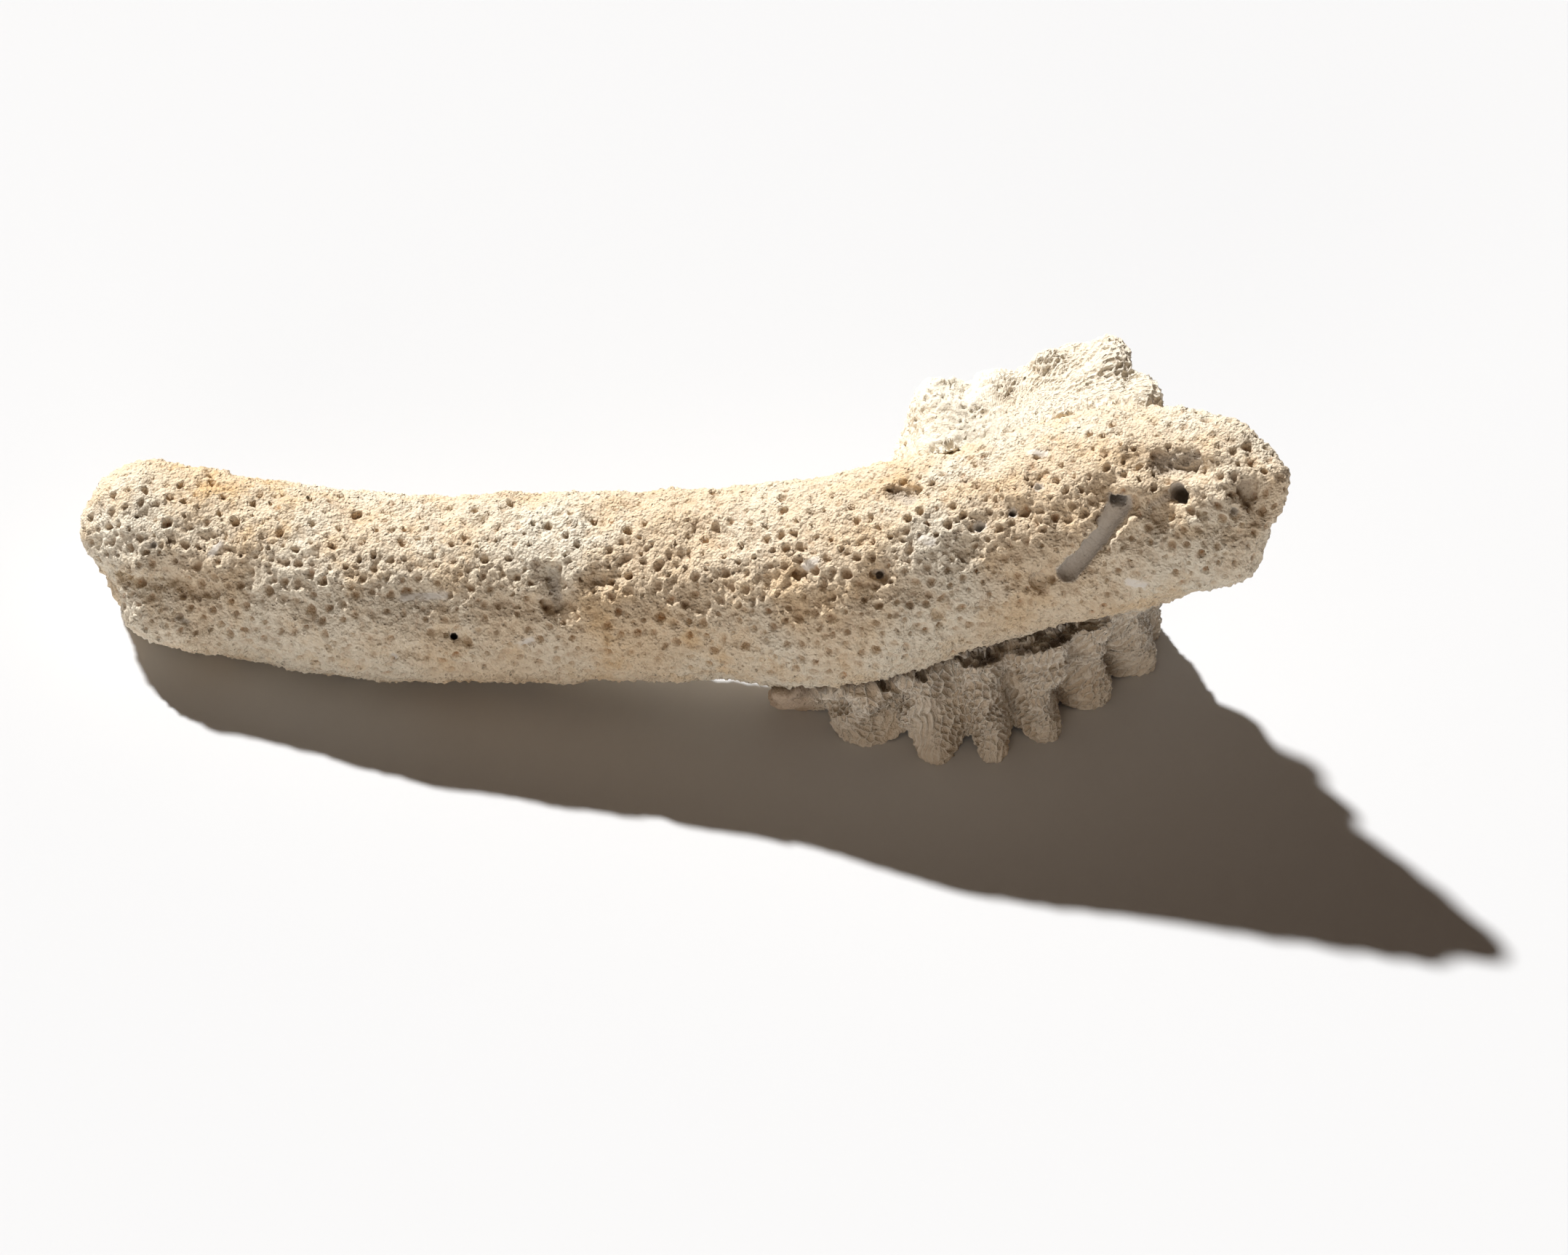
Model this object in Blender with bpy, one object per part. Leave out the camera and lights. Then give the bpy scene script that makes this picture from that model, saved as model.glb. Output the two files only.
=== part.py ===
"""A beach-worn length of pillar coral on its side, with the ridged coral that grew round its thick end.

Two solids, in metres, +Z up. The pillar is one skeleton, a shaft that swells into a head. The ridged collar is
a second colony, a fluted skirt that the head sits in. The piece rests on the worn underside of the shaft's
left end and on the tips of the collar's ridges.
"""

import math

import bmesh
import bpy
import numpy as np
from mathutils import Matrix, Vector, noise

MM = 0.001

# The pillar's centre line, left tip to right tip: x, y, z and radius in mm. x runs along the piece, y away
# from the viewer, and z up from the surface that it lies on.
PILLAR_STATIONS = [
    (10.8, 31.9, 12.3, 12.0),
    (21.6, 30.6, 11.6, 12.4),
    (30.0, 28.2, 11.9, 12.7),
    (45.0, 23.3, 12.8, 12.8),
    (60.0, 20.2, 14.1, 13.1),
    (75.0, 18.4, 16.1, 13.2),
    (90.0, 16.1, 18.3, 13.0),
    (100.0, 14.5, 20.1, 13.3),
    (111.0, 12.0, 22.6, 14.5),
    (121.0, 10.8, 25.6, 14.8),
    (133.0, 11.3, 29.8, 14.3),
    (150.0, 11.2, 36.0, 14.2),
    (162.0, 9.5, 39.1, 13.3),
    (176.0, 5.8, 44.9, 11.8),
]
# How long the two rounded ends are, which way the broken right end's slanting side faces, in degrees from the
# top towards the viewer, and how much longer it is there.
LEFT_DOME = 9 * MM
RIGHT_DOME = 16 * MM
BREAK_FACES = 228.0
BREAK_SLANT = 1.6
DOME_ROUNDNESS = 2.3
RING_COUNT = 200
COLUMN_COUNT = 96
PILLAR_TRIANGLES = 5600

# The slow swellings of the whole pillar and the knuckles that its corallites stood on.
SWELL_SIZE = 19 * MM
SWELL_HEIGHT = 0.7 * MM
KNUCKLE_SIZE = 6.5 * MM
KNUCKLE_HEIGHT = 0.45 * MM
PIT_SPACING = 5.4 * MM
PIT_REACH = 0.45
PIT_DEPTH = 1.5 * MM

# Worn features of the pillar: name, x in mm, degrees from the top towards the viewer, half length, half width
# and depth in mm, and the way that the length runs, in degrees from the pillar's own direction.
# A negative depth is a lump.
WORN_FEATURES = [
    ("end groove", 19.0, 76, 6.5, 2.2, 3.2, -10),
    ("end lip", 22.0, 108, 6.0, 4.5, -1.6, 0),
    ("end hollow", 13.5, 40, 1.5, 5.0, 1.5, 60),
    ("end undercut", 12.5, 118, 2.0, 9.0, 3.6, 90),
    ("belly hole", 62.4, 80, 1.8, 2.0, 2.2, 20),
    ("second belly hole", 54.9, 94, 2.2, 1.7, 2.0, -25),
    ("worn scar", 58.4, 53, 2.2, 2.6, 0.8, 0),
    ("eroded hollow", 76.5, 52, 2.4, 2.6, 1.5, 70),
    ("hollow beside it", 82.3, 46, 0.8, 2.0, 1.2, 0),
    ("long back hollow", 92.0, -15, 5.0, 3.4, 0.9, 10),
    ("knuckle scar", 97.0, 18, 1.5, 3.0, 1.0, 0),
    ("deep pore", 120.9, 49, 0.6, 1.6, 1.5, 0),
    ("second deep pore", 109.7, 43, 0.5, 1.5, 1.2, 0),
    ("head hollow", 124.0, 5, 1.0, 2.4, 0.9, 0),
    ("boring", 134.6, 36, 0.4, 1.4, 1.4, 0),
    ("second boring", 139.3, 35, 0.6, 1.4, 1.4, 30),
    ("third boring", 142.8, 22, 0.4, 1.4, 1.3, 0),
    ("round pit", 142.8, 79, 0.4, 1.8, 1.8, 0),
    ("smooth hollow", 151.2, 43, 1.6, 2.4, 1.0, 80),
    ("bore's trough", 159.0, 51, 1.6, 1.5, 0.9, 145),
    ("oval pit", 161.7, 27, 3.0, 2.0, 1.5, 10),
    ("under knob", 150.0, 112, 2.5, 4.0, -1.1, 0),
    ("end cavity", 171.2, 55, 1.6, 2.4, 1.8, 70),
    ("end knob", 174.6, 48, 1.2, 4.2, -1.7, 60),
    ("end's lower corner", 170.0, 126, 2.4, 6.0, -2.2, 60),
    ("broken back of the head", 170.0, -130, 6.0, 15.0, 2.8, 0),
    ("chip behind the tip", 173.0, -60, 2.0, 5.0, 2.2, 50),
    ("ring pore", 166.0, 66, 0.6, 2.0, 1.5, 0),
    ("second ring pore", 169.5, 74, 0.6, 1.9, 1.4, 0),
    ("back hollow", 45.0, -120, 4.0, 3.6, 1.4, 15),
    ("second back hollow", 104.0, -95, 3.0, 3.4, 1.6, -20),
    ("under hollow", 84.0, 165, 4.0, 4.0, 1.5, 0),
    ("head's back scar", 168.0, -70, 2.5, 3.4, 1.6, 30),
]

# The narrow groove that a borer cut down the head, and the round hole beside it: two ends of the groove and
# the hole's mouth, as x in mm and degrees from the top.
GROOVE_ENDS = ((154.4, 46), (146.6, 80))
GROOVE_RADIUS = 1.5 * MM
GROOVE_SINK = 0.6 * MM
BORE_PLACE = (161.5, 44)
BORE_RADIUS = 1.15 * MM
BORE_DEPTH = 5.0 * MM

# The collar's ridges, from the front left round by the right: where each one's foot stands and where it ends at
# the rim, as x and y of the foot and x, y and z of the rim, then how far its middle draws in, all in mm, and
# how deep the valleys beside it are against the deepest.
RIDGES = [
    (108.0, 13.0, 106.0, 2.0, 10.5, 0.4, 0.5),
    (117.3, 3.9, 114.5, -0.5, 16.5, 0.8, 1.0),
    (128.3, -0.2, 125.0, -1.5, 20.0, 0.8, 1.1),
    (136.9, 0.0, 134.5, -1.0, 22.5, 0.8, 1.1),
    (144.8, 4.4, 143.0, 0.0, 25.0, 1.0, 1.0),
    (152.0, 12.0, 151.5, 2.5, 26.5, 1.6, 0.9),
    (159.0, 19.4, 159.5, 6.5, 28.0, 2.0, 0.8),
    (159.8, 27.0, 162.5, 16.5, 30.5, 1.6, 0.5),
    (156.5, 34.0, 163.0, 22.0, 41.0, 2.8, 1.0),
    (150.0, 36.5, 158.8, 27.0, 46.0, 4.4, 0.7),
    (143.5, 36.5, 152.8, 38.6, 44.6, 5.2, 1.2),
    (134.0, 38.5, 143.0, 37.0, 42.6, 5.0, 0.6),
    (127.5, 36.0, 134.5, 33.6, 42.4, 3.8, 0.9),
    (120.5, 36.5, 126.4, 31.5, 41.6, 4.4, 0.5),
    (113.5, 31.0, 118.5, 29.5, 25.0, 2.0, 0.9),
    (107.0, 24.0, 107.5, 24.0, 13.0, 0.8, 0.4),
]
RIDGE_SAMPLES = 11
RIDGE_WANDER = 0.55
RIDGE_WANDER_SIZE = 2.3
RIDGE_WANDER_RISE = 2.6
RIDGE_ROUNDNESS = 1.7
FOOT_VALLEY = 4.8 * MM
RIM_VALLEY = 2.2 * MM
WALL_LEVELS = 26
# The crown climbs to a seam along the pillar's top. Where it stands over the pillar's middle by this much, the
# seam is this far under the pillar's crest, and elsewhere it stays at the pillar's middle.
CROWN_LEVELS = 12
CROWN_STANDS = 6.0 * MM
SEAM_DROP = 1.6 * MM
SEAM_SPREAD = 0.7
CROWN_RIPPLE = 0.9 * MM
CROWN_KNOB_SIZE = 5.0 * MM
CROWN_KNOB_HEIGHT = 1.3 * MM
SOLE_LEVELS = 4
SOLE_HOLLOW = 3.0 * MM
FOOT_SINK = 0.7 * MM
LEDGE_COUNT = 4.5
LEDGE_HEIGHT = 1.0 * MM
COLLAR_LUMP_SIZE = 9.0 * MM
COLLAR_LUMP_HEIGHT = 2.6 * MM
COLLAR_TRIANGLES = 2560

# The collar stops this far from the pillar, and both are worn flat where they stand.
CRADLE_GAP = 0.45 * MM
CRADLE_RINGS = 64
CRADLE_COLUMNS = 40
FLOOR_BLOCK = 0.5

# The middle of the finished piece, in the frame of the lists above, which the origin is moved under.
CARRIER_NAME = "coral"
MIDDLE_X = 93.36 * MM
MIDDLE_Y = 19.41 * MM

PILLAR_COLOUR = (0.66, 0.56, 0.42, 1.0)
COLLAR_COLOUR = (0.52, 0.46, 0.37, 1.0)


def clear_scene():
    for thing in list(bpy.data.objects):
        bpy.data.objects.remove(thing, do_unlink=True)


def coral_material(name, colour, roughness):
    material = bpy.data.materials.new(name)
    material.use_nodes = True
    shader = material.node_tree.nodes["Principled BSDF"]
    shader.inputs["Base Color"].default_value = colour
    shader.inputs["Roughness"].default_value = roughness
    shader.inputs["Metallic"].default_value = 0.0
    return material


def add_carrier():
    """The empty that carries every object, so that the piece stands round its own middle."""
    carrier = bpy.data.objects.new(CARRIER_NAME, None)
    bpy.context.scene.collection.objects.link(carrier)
    carrier.location = (-MIDDLE_X, -MIDDLE_Y, 0.0)


def add_object(name, mesh, material=None):
    thing = bpy.data.objects.new(name, mesh)
    bpy.context.scene.collection.objects.link(thing)
    thing.parent = bpy.data.objects[CARRIER_NAME]
    if material is not None:
        mesh.materials.append(material)
    return thing


def add_cutter(name, mesh):
    cutter = add_object(name, mesh)
    cutter.hide_render = True
    cutter.display_type = "WIRE"
    return cutter


def cut(thing, cutter):
    modifier = thing.modifiers.new("cut " + cutter.name, "BOOLEAN")
    modifier.operation = "DIFFERENCE"
    modifier.solver = "EXACT"
    modifier.object = cutter


def thin_out(thing, triangles):
    """Leaves about so many triangles, most of them where the surface turns."""
    faces = sum(len(polygon.vertices) - 2 for polygon in thing.data.polygons)
    modifier = thing.modifiers.new("thin out", "DECIMATE")
    modifier.ratio = min(1.0, triangles / faces)
    modifier.use_collapse_triangulate = True


def pillar_section(x):
    """Centre and radius of the pillar at x metres, on a smooth curve through the stations."""
    stations = np.array(PILLAR_STATIONS) * MM
    place = int(np.clip(np.searchsorted(stations[:, 0], x) - 1, 0, len(stations) - 2))
    before = stations[max(place - 1, 0)]
    start = stations[place]
    end = stations[place + 1]
    after = stations[min(place + 2, len(stations) - 1)]
    span = end[0] - start[0]
    t = min(max((x - start[0]) / span, 0.0), 1.0)
    slope_in = (end - before) / (end[0] - before[0]) * span
    slope_out = (after - start) / (after[0] - start[0]) * span
    curve = ((2 * t**3 - 3 * t**2 + 1) * start + (t**3 - 2 * t**2 + t) * slope_in
             + (3 * t**2 - 2 * t**3) * end + (t**3 - t**2) * slope_out)
    return Vector((x, curve[1], curve[2])), float(curve[3])


def dome_factor(x, degrees):
    """How much of its radius the pillar keeps near its ends. The break at the right end slants to one side."""
    left = PILLAR_STATIONS[0][0] * MM
    right = PILLAR_STATIONS[-1][0] * MM
    towards_break = 0.5 + 0.5 * math.cos(math.radians(degrees - BREAK_FACES))
    right_dome = RIGHT_DOME * (1.0 + BREAK_SLANT * towards_break**2)
    factor = 1.0
    for distance, dome in ((x - left, LEFT_DOME), (right - x, right_dome)):
        if distance < dome:
            rise = 1.0 - max(distance, 0.0) / dome
            factor *= (1.0 - rise**DOME_ROUNDNESS) ** (1.0 / DOME_ROUNDNESS)
    return factor


def swell(point):
    slow = noise.noise(point / SWELL_SIZE + Vector((3.1, 7.7, 1.9)))
    knuckle = noise.noise(point / KNUCKLE_SIZE + Vector((11.0, 2.0, 5.0)))
    return SWELL_HEIGHT * slow + KNUCKLE_HEIGHT * knuckle


def skin_point(x, degrees, growth=0.0):
    """A point of the unworn skin, by x in metres and the angle from the top towards the viewer."""
    centre, radius = pillar_section(x)
    turn = math.radians(degrees)
    outward = Vector((0.0, -math.sin(turn), math.cos(turn)))
    factor = dome_factor(x, degrees)
    reach = radius * factor
    reach += factor * swell(centre + outward * reach)
    return centre + outward * (reach + growth)


def pillar_skin(ring_count, column_count, growth=0.0):
    """The unworn pillar as a closed mesh of rings, grown by so much all round."""
    left = PILLAR_STATIONS[0][0] * MM
    right = PILLAR_STATIONS[-1][0] * MM
    mesh = bmesh.new()
    rings = []
    for step in range(1, ring_count):
        even = step / ring_count
        eased = even - 0.10 * math.sin(2 * math.pi * even) / (2 * math.pi)
        x = left + (right - left) * eased
        ring = []
        for column in range(column_count):
            point = skin_point(x, 360.0 * column / column_count, growth)
            ring.append(mesh.verts.new(point))
        rings.append(ring)
    for ring, following in zip(rings, rings[1:]):
        for column in range(column_count):
            beside = (column + 1) % column_count
            mesh.faces.new((ring[column], ring[beside], following[beside], following[column]))
    for x, ring in ((left - growth, rings[0]), (right + growth, rings[-1])):
        centre, _ = pillar_section(x)
        centre.x = x
        tip = mesh.verts.new(centre)
        for column in range(column_count):
            beside = (column + 1) % column_count
            mesh.faces.new((tip, ring[column], ring[beside]))
    bmesh.ops.recalc_face_normals(mesh, faces=mesh.faces[:])
    mesh.normal_update()
    return mesh


def smooth_fall(distance, reach):
    """One at the middle of a hollow, nothing at its edge, and steep between."""
    if distance >= reach:
        return 0.0
    return (1.0 - (distance / reach) ** 2) ** 1.5


def feature_frames():
    """Each worn feature as its middle, the direction of its length, half sizes and depth."""
    frames = []
    for _, x, degrees, half_length, half_width, depth, turn in WORN_FEATURES:
        middle = skin_point(x * MM, degrees)
        along = skin_point((x + 1.0) * MM, degrees) - skin_point((x - 1.0) * MM, degrees)
        round_it = skin_point(x * MM, degrees + 5.0) - skin_point(x * MM, degrees - 5.0)
        outward = along.cross(round_it).normalized()
        length_way = Matrix.Rotation(math.radians(turn), 3, outward) @ along.normalized()
        frames.append((middle, length_way, half_length * MM, half_width * MM, depth * MM))
    return frames


def pillar_wear(point, frames):
    """How deep the weather and the borers went at a point of the skin."""
    distances, _ = noise.voronoi(point / PIT_SPACING)
    roomy = 0.5 + 0.5 * noise.noise(point / SWELL_SIZE + Vector((0.0, 9.0, 4.0)))
    depth = PIT_DEPTH * (0.55 + 0.45 * roomy) * smooth_fall(distances[0], PIT_REACH)
    for middle, length_way, half_length, half_width, sink in frames:
        offset = point - middle
        along = offset.dot(length_way)
        across = offset - length_way * along
        beyond = max(abs(along) - half_length, 0.0)
        depth += sink * smooth_fall(math.hypot(beyond, across.length), half_width)
    return depth


def rod_mesh(start, end, radius):
    """A round-ended rod between two points."""
    mesh = bmesh.new()
    way = end - start
    turn = way.to_track_quat("Z", "Y").to_matrix().to_4x4()
    bmesh.ops.create_uvsphere(mesh, u_segments=14, v_segments=8, radius=radius)
    for vertex in mesh.verts:
        if vertex.co.z > 0.0:
            vertex.co.z += way.length
    bmesh.ops.transform(mesh, matrix=Matrix.Translation(start) @ turn, verts=mesh.verts[:])
    data = bpy.data.meshes.new("rod")
    mesh.to_mesh(data)
    mesh.free()
    return data


def make_floor_block():
    """Everything below the flats that the piece has worn on its underside."""
    mesh = bmesh.new()
    bmesh.ops.create_cube(mesh, size=FLOOR_BLOCK)
    drop = Matrix.Translation((0.1, 0.0, -FLOOR_BLOCK / 2))
    bmesh.ops.transform(mesh, matrix=drop, verts=mesh.verts[:])
    data = bpy.data.meshes.new("floor block")
    mesh.to_mesh(data)
    mesh.free()
    return add_cutter("floor block", data)


def make_pillar(material, floor_block):
    mesh = pillar_skin(RING_COUNT, COLUMN_COUNT)
    frames = feature_frames()
    worn = []
    for vertex in mesh.verts:
        worn.append(vertex.co - vertex.normal * pillar_wear(vertex.co, frames))
    for vertex, place in zip(mesh.verts, worn):
        vertex.co = place
    data = bpy.data.meshes.new("pillar_branch")
    mesh.to_mesh(data)
    mesh.free()
    pillar = add_object("pillar_branch", data, material)
    thin_out(pillar, PILLAR_TRIANGLES)

    upper, lower = (skin_point(x * MM, degrees, -GROOVE_SINK) for x, degrees in GROOVE_ENDS)
    cut(pillar, add_cutter("head groove", rod_mesh(upper, lower, GROOVE_RADIUS)))

    x, degrees = BORE_PLACE
    mouth = skin_point(x * MM, degrees, 2 * MM)
    bottom = skin_point(x * MM, degrees, -BORE_DEPTH)
    cut(pillar, add_cutter("bore", rod_mesh(bottom, mouth, BORE_RADIUS)))
    cut(pillar, floor_block)
    return pillar


def fluting_at(number, rise):
    """One on a ridge and nothing in a valley. Ridges wander sideways as they climb."""
    place = number / RIDGE_SAMPLES
    turn = 2.0 * math.pi * place / len(RIDGES)
    around = Vector((math.cos(turn), math.sin(turn), 0.0)) * RIDGE_WANDER_SIZE
    climb = Vector((0.0, 0.0, RIDGE_WANDER_RISE * rise))
    wander = RIDGE_WANDER * math.sin(0.5 * math.pi * min(1.0, 1.5 * rise)) * noise.noise(around + climb)
    valley = 0.5 - 0.5 * math.cos(2.0 * math.pi * (place + wander))
    return 1.0 - valley**RIDGE_ROUNDNESS


def between_ridges(number):
    """Foot, rim, waist and valley depth of one upright line of the collar, on a smooth curve through the ridges."""
    here = number // RIDGE_SAMPLES
    t = (number % RIDGE_SAMPLES) / RIDGE_SAMPLES
    rows = np.array([RIDGES[(here + step) % len(RIDGES)] for step in (-1, 0, 1, 2)])
    weights = np.array([-t**3 + 2 * t**2 - t, 3 * t**3 - 5 * t**2 + 2,
                        -3 * t**3 + 4 * t**2 + t, t**3 - t**2]) / 2.0
    foot_x, foot_y, rim_x, rim_y, rim_z, waist, carve = (float(value) for value in weights @ rows)
    return Vector((foot_x, foot_y, 0.0)) * MM, Vector((rim_x, rim_y, rim_z)) * MM, waist * MM, carve


def collar_middle():
    rows = np.array(RIDGES) * MM
    return Vector((float(rows[:, 0].mean()), float(rows[:, 1].mean()), 0.0))


def crown_seam(rim, middle):
    """Where a line of the crown runs to: on the pillar's crest behind a high rim, inside it behind a low one."""
    x = middle.x + SEAM_SPREAD * (rim.x - middle.x)
    centre, radius = pillar_section(x)
    standing = min(max((rim.z - centre.z) / CROWN_STANDS, 0.0), 1.0)
    return centre + Vector((0.0, 0.0, standing * (radius - SEAM_DROP)))


def collar_line(number, middle):
    """The points of one upright line, from under the sole, up the wall and over the crown."""
    foot, rim, waist, carve = between_ridges(number)
    seam = crown_seam(rim, middle)
    inward = (middle - foot).normalized()
    standing = fluting_at(number, 0.0)
    foot = foot + inward * FOOT_VALLEY * carve * (1.0 - standing)
    foot.z = FOOT_SINK * (1.0 - 2.0 * standing)
    points = []
    for level in range(SOLE_LEVELS):
        t = level / SOLE_LEVELS
        point = middle.lerp(foot, 0.25 + 0.75 * t)
        point.z = SOLE_HOLLOW * (1.0 - t**2) + foot.z * t
        points.append(point)
    for level in range(WALL_LEVELS + 1):
        t = level / WALL_LEVELS
        fluting = fluting_at(number, t)
        valley = RIM_VALLEY * t + FOOT_VALLEY * (1.0 - t)
        belly = math.sin(math.pi * t)
        ledge = abs(math.sin(math.pi * LEDGE_COUNT * t)) * belly
        draw = waist * belly - LEDGE_HEIGHT * ledge * (0.3 + 0.7 * fluting)
        draw += valley * carve * (standing - fluting) * (1.0 - t) + RIM_VALLEY * carve * (1.0 - fluting) * t
        point = foot.lerp(rim, t) + inward * draw
        lump = noise.noise(point / COLLAR_LUMP_SIZE + Vector((4.0, 8.0, 1.0)))
        points.append(point - inward * COLLAR_LUMP_HEIGHT * lump * belly)
    edge = points[-1]
    for level in range(1, CROWN_LEVELS + 1):
        t = level / CROWN_LEVELS
        point = edge.lerp(seam, 0.85 * t)
        fade = math.sin(math.pi * min(2.0 * t, 1.0))
        knob = noise.noise(point / CROWN_KNOB_SIZE + Vector((6.0, 1.0, 2.0)))
        point.z += fade * (CROWN_RIPPLE * (fluting_at(number, 1.0) - 0.5) + CROWN_KNOB_HEIGHT * knob)
        points.append(point)
    return points


def make_collar(material, floor_block):
    middle = collar_middle()
    line_count = len(RIDGES) * RIDGE_SAMPLES
    mesh = bmesh.new()
    lines = []
    for number in range(line_count):
        lines.append([mesh.verts.new(point) for point in collar_line(number, middle)])
    for number in range(line_count):
        line = lines[number]
        beside = lines[(number + 1) % line_count]
        for low in range(len(line) - 1):
            mesh.faces.new((line[low], beside[low], beside[low + 1], line[low + 1]))
    for end in (0, -1):
        ring = [line[end] for line in lines]
        tip = mesh.verts.new(sum((vertex.co for vertex in ring), Vector()) / line_count)
        for number in range(line_count):
            mesh.faces.new((tip, ring[number], ring[(number + 1) % line_count]))
    bmesh.ops.recalc_face_normals(mesh, faces=mesh.faces[:])
    data = bpy.data.meshes.new("ridged_collar")
    mesh.to_mesh(data)
    mesh.free()
    collar = add_object("ridged_collar", data, material)
    thin_out(collar, COLLAR_TRIANGLES)

    cradle = bpy.data.meshes.new("cradle")
    grown = pillar_skin(CRADLE_RINGS, CRADLE_COLUMNS, CRADLE_GAP)
    grown.to_mesh(cradle)
    grown.free()
    cut(collar, add_cutter("cradle", cradle))
    cut(collar, floor_block)
    return collar


clear_scene()
add_carrier()
floor = make_floor_block()
make_pillar(coral_material("worn pillar skeleton", PILLAR_COLOUR, 0.85), floor)
make_collar(coral_material("ridged collar skeleton", COLLAR_COLOUR, 0.9), floor)
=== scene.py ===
"""A beach-worn length of pillar coral lying on a pale floor, with the ridged coral that grew round its head.

Millimetres are written as such and multiplied by MM. Places on the coral that are named in photograph pixels
are found by looking through the camera's own view at the solids.
"""

import math

import bmesh
import bpy
import numpy as np
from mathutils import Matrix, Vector
from mathutils.bvhtree import BVHTree


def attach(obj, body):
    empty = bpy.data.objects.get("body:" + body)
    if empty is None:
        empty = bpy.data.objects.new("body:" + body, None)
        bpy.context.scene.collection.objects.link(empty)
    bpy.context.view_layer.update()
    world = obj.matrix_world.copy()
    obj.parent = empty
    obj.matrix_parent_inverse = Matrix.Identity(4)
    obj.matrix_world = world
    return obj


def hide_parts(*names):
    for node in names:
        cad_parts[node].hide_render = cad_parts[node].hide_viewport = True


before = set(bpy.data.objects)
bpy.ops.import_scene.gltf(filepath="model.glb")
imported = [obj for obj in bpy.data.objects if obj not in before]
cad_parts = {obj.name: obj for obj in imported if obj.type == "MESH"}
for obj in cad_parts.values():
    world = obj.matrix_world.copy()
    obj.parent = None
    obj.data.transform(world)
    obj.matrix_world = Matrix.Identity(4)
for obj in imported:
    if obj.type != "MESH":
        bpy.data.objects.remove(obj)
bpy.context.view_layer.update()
MM = 0.001


# The view. The photograph looks down at the piece from 42 degrees above the floor through a long lens, so the
# near and far ends are seen at almost one scale, a tenth of a millimetre to the pixel.
PHOTO_WIDTH_PX = 2156
PHOTO_HEIGHT_PX = 1725
PIXEL = 0.1 * MM
VIEW_ELEVATION = math.radians(42.0)
VIEW_DISTANCE = 1.5
SENSOR_WIDTH = 36.0
VIEW_MIDDLE = Vector((14.4 * MM, -6.0 * MM, 13.0 * MM))

view_forward = Vector((0.0, math.cos(VIEW_ELEVATION), -math.sin(VIEW_ELEVATION)))
view_up = Vector((0.0, math.sin(VIEW_ELEVATION), math.cos(VIEW_ELEVATION)))
view_eye = VIEW_MIDDLE - view_forward * VIEW_DISTANCE

camera_data = bpy.data.cameras.new("photograph view")
camera_data.sensor_width = SENSOR_WIDTH
camera_data.lens = SENSOR_WIDTH * VIEW_DISTANCE / (PHOTO_WIDTH_PX * PIXEL)
camera_data.clip_start = 0.05
camera_data.clip_end = 20.0
camera = bpy.data.objects.new("photograph view", camera_data)
camera.location = view_eye
camera.rotation_euler = (math.pi / 2 - VIEW_ELEVATION, 0.0, 0.0)
bpy.context.scene.collection.objects.link(camera)
bpy.context.scene.camera = camera


def sight_line(pixel):
    """The direction from the eye through a pixel of the photograph."""
    across = (pixel[0] - PHOTO_WIDTH_PX / 2) * PIXEL
    upward = (PHOTO_HEIGHT_PX / 2 - pixel[1]) * PIXEL
    aim = VIEW_MIDDLE + Vector((across, 0.0, 0.0)) + view_up * upward
    return (aim - view_eye).normalized()


# The pillar. One length of the skeleton of a pillar coral, a shaft that swells into a broken head: porous
# chalk, rolled smooth by the sea, its corallites worn to round pits between low rough rims. Shells, worms and
# sponges have left bores, grooves and smooth scars in it.
PILLAR_COARSE_EDGE = 0.42 * MM
PILLAR_FINE_EDGE = 0.27 * MM
PILLAR_ROUNDING = 22
CARVED_ROUNDING = 3
PILLAR_TRIANGLES = 196000

# Hollows, each from one pixel of the photograph to another, with half width and depth in mm, and greyed with
# painted shade. Their sides slope over this share of the half width.
HOLLOW_SLOPE = 0.3
HOLLOWS = {
    "end groove": ((150, 798), (215, 812), 0.6, 0.6),
    "end groove's tail": ((243, 850), (258, 854), 0.5, 0.6),
    "furrow by the belly hole": ((546, 895), (556, 903), 0.6, 1.2),
    "eroded hollow": ((756, 786), (768, 834), 0.9, 0.7),
    "dark corner of the hollow": ((750, 831), (756, 836), 0.7, 1.4),
    "hollow beside it": ((820, 798), (824, 800), 0.6, 0.5),
    "deep pore": ((1207, 789), (1212, 792), 0.8, 1.2),
    "second deep pore": ((1095, 787), (1100, 790), 0.7, 1.1),
    "ochre hollow": ((1232, 676), (1250, 684), 1.5, 0.7),
    "round pit": ((1427, 797), (1429, 799), 1.1, 1.2),
    "bore's trough": ((1604, 684), (1582, 702), 0.9, 0.6),
    "oval pit": ((1596, 638), (1639, 633), 1.6, 0.6),
    "end cavity": ((1710, 672), (1714, 686), 1.1, 1.0),
    "ring pore": ((1697, 706), (1699, 708), 0.8, 1.0),
    "second ring pore": ((1654, 708), (1656, 709), 0.7, 0.9),
    "lower head pit": ((1288, 846), (1292, 850), 0.8, 1.0),
}
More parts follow.
